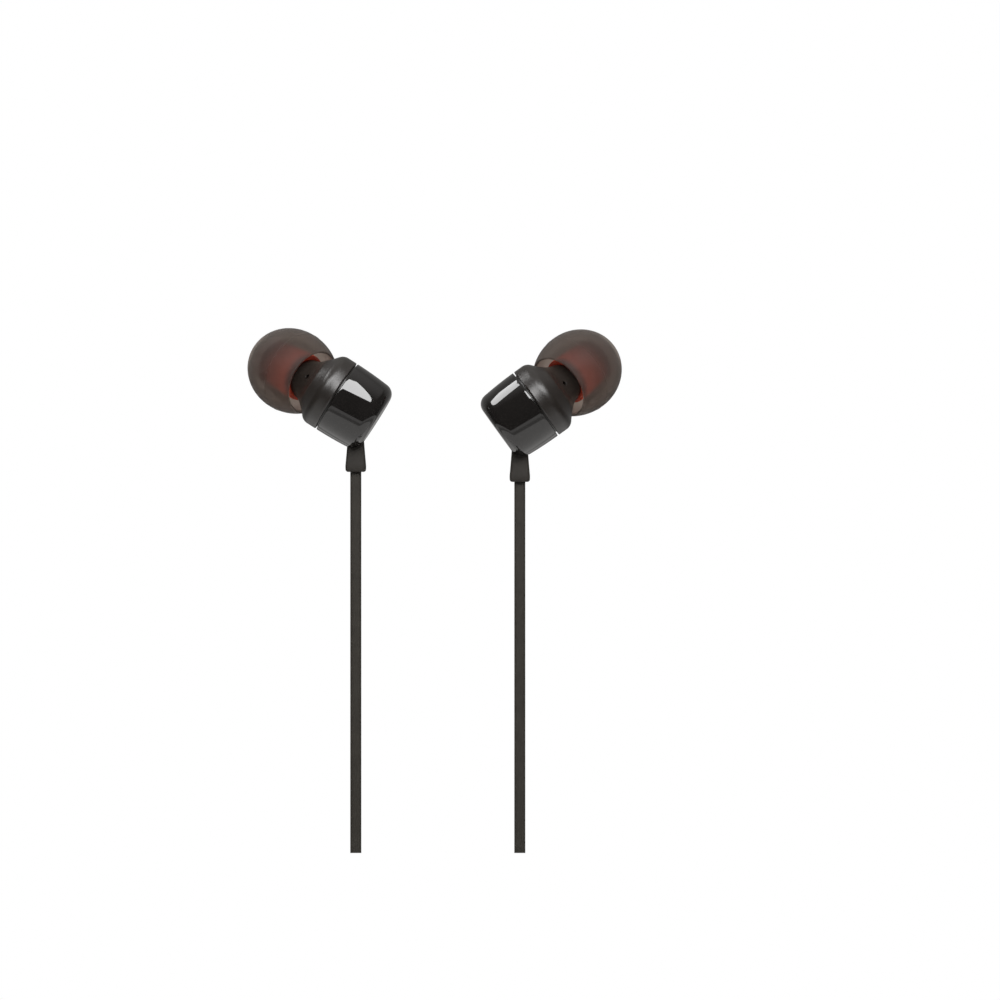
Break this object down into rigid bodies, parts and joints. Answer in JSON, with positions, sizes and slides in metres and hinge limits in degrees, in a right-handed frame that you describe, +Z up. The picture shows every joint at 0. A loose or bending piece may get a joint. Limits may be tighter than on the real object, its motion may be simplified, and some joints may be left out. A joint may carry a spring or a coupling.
{
  "type": "wired earphones",
  "caption": "In-ear earphones on flat leads: glossy barrel housings, angled nozzles, silicone tips, inline remote, splitter, folded trunk cable and 3.5 mm plug.",
  "frame": {"origin": "where the plug's pin leaves its grip, on the pin's axis", "axes": "+Z up along the hanging leads and away from the pin, +X from the left bud to the right bud, +Y away from the viewer"},
  "size_m": [0.0599, 0.0368, 0.1535],
  "materials": {
    "glossy_barrel": "polished moulded plastic",
    "matt_cup": "fine matt moulded texture",
    "boot_rubber": "soft matt elastomer",
    "cable_jacket": "smooth satin elastomer",
    "conductors": "stranded copper",
    "smoky_silicone": "translucent smoky silicone",
    "red_silicone": "translucent red silicone",
    "steel_mesh": "pierced stainless steel",
    "foam": "open-cell foam",
    "driver_plastic": "moulded plastic",
    "soft_iron": "plated soft iron",
    "magnet_plating": "nickel plating",
    "enamelled_copper": "enamelled copper winding",
    "diaphragm_film": "thin polymer film",
    "pressed_steel": "pressed steel",
    "damping_paper": "fibre paper",
    "board_green": "solder-masked board",
    "microphone_can": "drawn can",
    "tie_strap": "soft strap",
    "gold_contact": "gold plating",
    "insulator_plastic": "moulded insulation"
  },
  "bodies": {
    "cable": {"cable_tie": "tie_strap", "left_lead": "cable_jacket", "left_lead_wires": "conductors", "plug_grip": "boot_rubber", "plug_insulators": "insulator_plastic", "plug_relief": "boot_rubber", "plug_ring_1": "gold_contact", "plug_ring_2": "gold_contact", "plug_sleeve": "gold_contact", "plug_tip": "gold_contact", "remote_board": "board_green", "remote_front": "matt_cup", "remote_microphone": "microphone_can", "remote_rear": "matt_cup", "remote_switch": "driver_plastic", "right_lead_lower": "cable_jacket", "right_lead_upper": "cable_jacket", "right_lead_wires": "conductors", "splitter": "boot_rubber", "trunk_cable": "cable_jacket", "trunk_wires": "conductors"},
    "button": {"remote_button": "glossy_barrel"},
    "plunger": {"remote_plunger": "driver_plastic"},
    "left_bud": {"left_rear_housing": "glossy_barrel", "left_front_housing": "matt_cup", "left_boot": "boot_rubber", "left_driver_frame": "driver_plastic", "left_driver_yoke": "soft_iron", "left_driver_magnet": "magnet_plating", "left_driver_pole_plate": "soft_iron", "left_driver_cover": "pressed_steel", "left_rear_damper": "damping_paper", "left_terminal_board": "board_green", "left_nozzle_mesh": "steel_mesh", "left_nozzle_foam": "foam", "left_wire_tail": "conductors", "left_lead_tail": "cable_jacket"},
    "left_ear_tip": {"left_ear_tip_skirt": "smoky_silicone", "left_ear_tip_core": "red_silicone"},
    "left_diaphragm": {"left_driver_diaphragm": "diaphragm_film", "left_driver_voice_coil": "enamelled_copper"},
    "right_bud": {"right_rear_housing": "glossy_barrel", "right_front_housing": "matt_cup", "right_boot": "boot_rubber", "right_driver_frame": "driver_plastic", "right_driver_yoke": "soft_iron", "right_driver_magnet": "magnet_plating", "right_driver_pole_plate": "soft_iron", "right_driver_cover": "pressed_steel", "right_rear_damper": "damping_paper", "right_terminal_board": "board_green", "right_nozzle_mesh": "steel_mesh", "right_nozzle_foam": "foam", "right_wire_tail": "conductors", "right_lead_tail": "cable_jacket"},
    "right_ear_tip": {"right_ear_tip_skirt": "smoky_silicone", "right_ear_tip_core": "red_silicone"},
    "right_diaphragm": {"right_driver_diaphragm": "diaphragm_film", "right_driver_voice_coil": "enamelled_copper"}
  },
  "joints": [
    {"name": "left_bud_swing", "type": "hinge", "parent": "cable", "child": "left_bud", "pos_m": [-0.03959, -0.02729, 0.0985], "axis": [1, 0, 0], "range_deg": [-20, 20]},
    {"name": "left_ear_tip_pull", "type": "slide", "parent": "left_bud", "child": "left_ear_tip", "axis": [-0.7064, 0.586, 0.397], "range_m": [0, 0.009]},
    {"name": "left_diaphragm_travel", "type": "slide", "parent": "left_bud", "child": "left_diaphragm", "axis": [-0.8425, 0, 0.5388], "range_m": [-0.00015, 0.00015], "stiffness_N_per_m": 20},
    {"name": "right_bud_swing", "type": "hinge", "parent": "cable", "child": "right_bud", "pos_m": [-0.01499, -0.02729, 0.097], "axis": [1, 0, 0], "range_deg": [-20, 20]},
    {"name": "right_ear_tip_pull", "type": "slide", "parent": "right_bud", "child": "right_ear_tip", "axis": [0.6397, 0.5872, 0.496], "range_m": [0, 0.009]},
    {"name": "right_diaphragm_travel", "type": "slide", "parent": "right_bud", "child": "right_diaphragm", "axis": [0.81, 0, 0.5864], "range_m": [-0.00015, 0.00015], "stiffness_N_per_m": 20},
    {"name": "button_press", "type": "slide", "parent": "cable", "child": "button", "axis": [0, 1, 0], "range_m": [0, 0.0003], "stiffness_N_per_m": 20},
    {"name": "plunger_press", "type": "slide", "parent": "cable", "child": "plunger", "axis": [0, 1, 0], "range_m": [0, 0.0003]}
  ],
  "couplings": [
    {"joint": "plunger_press", "follows": "button_press", "ratio": 1}
  ]
}
